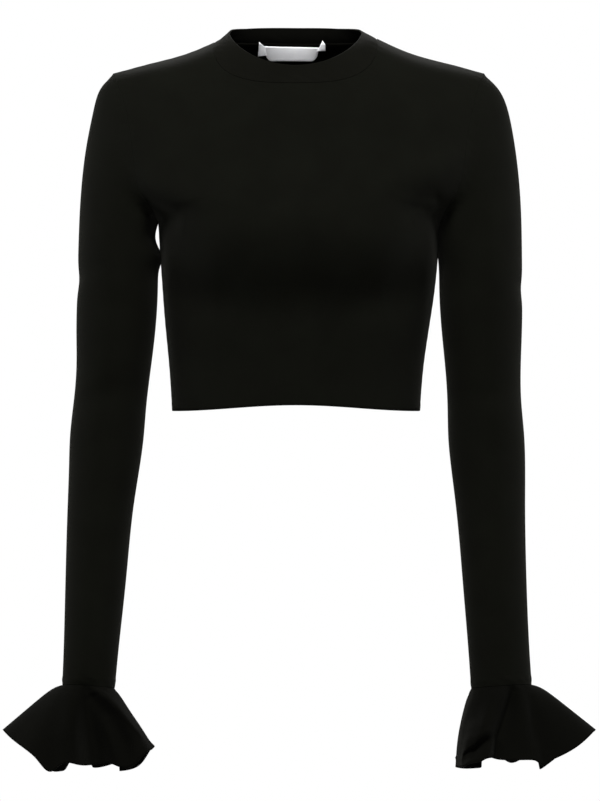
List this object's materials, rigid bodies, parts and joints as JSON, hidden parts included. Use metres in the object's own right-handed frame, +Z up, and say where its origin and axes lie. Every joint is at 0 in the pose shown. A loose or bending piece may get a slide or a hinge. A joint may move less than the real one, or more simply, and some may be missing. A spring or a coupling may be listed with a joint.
{
  "type": "crop top",
  "caption": "Fitted black knit crop top with a crew neck, long set-in sleeves and flared frill cuffs, in its hollow worn form.",
  "frame": {"origin": "centre line of the garment, at y where the shoulder and side seams lie, level with the neck ends of the shoulder seams", "axes": "+Z up the garment, +X towards the wearer's left, -Y the front"},
  "size_m": [0.5848, 0.2177, 0.7499],
  "materials": {
    "body_knit": "matte fine-gauge knit with a faint sheen at grazing angles",
    "band_knit": "matte knit, doubled",
    "frill_knit": "matte fine-gauge knit, single, with a rolled edge",
    "label_satin": "soft white satin ribbon"
  },
  "bodies": {
    "root": {"front": "body_knit", "back": "body_knit", "sleeve_right": "body_knit", "sleeve_left": "body_knit", "neckband": "band_knit", "frill_right": "frill_knit", "frill_left": "frill_knit", "neck_label": "label_satin"}
  },
  "joints": []
}
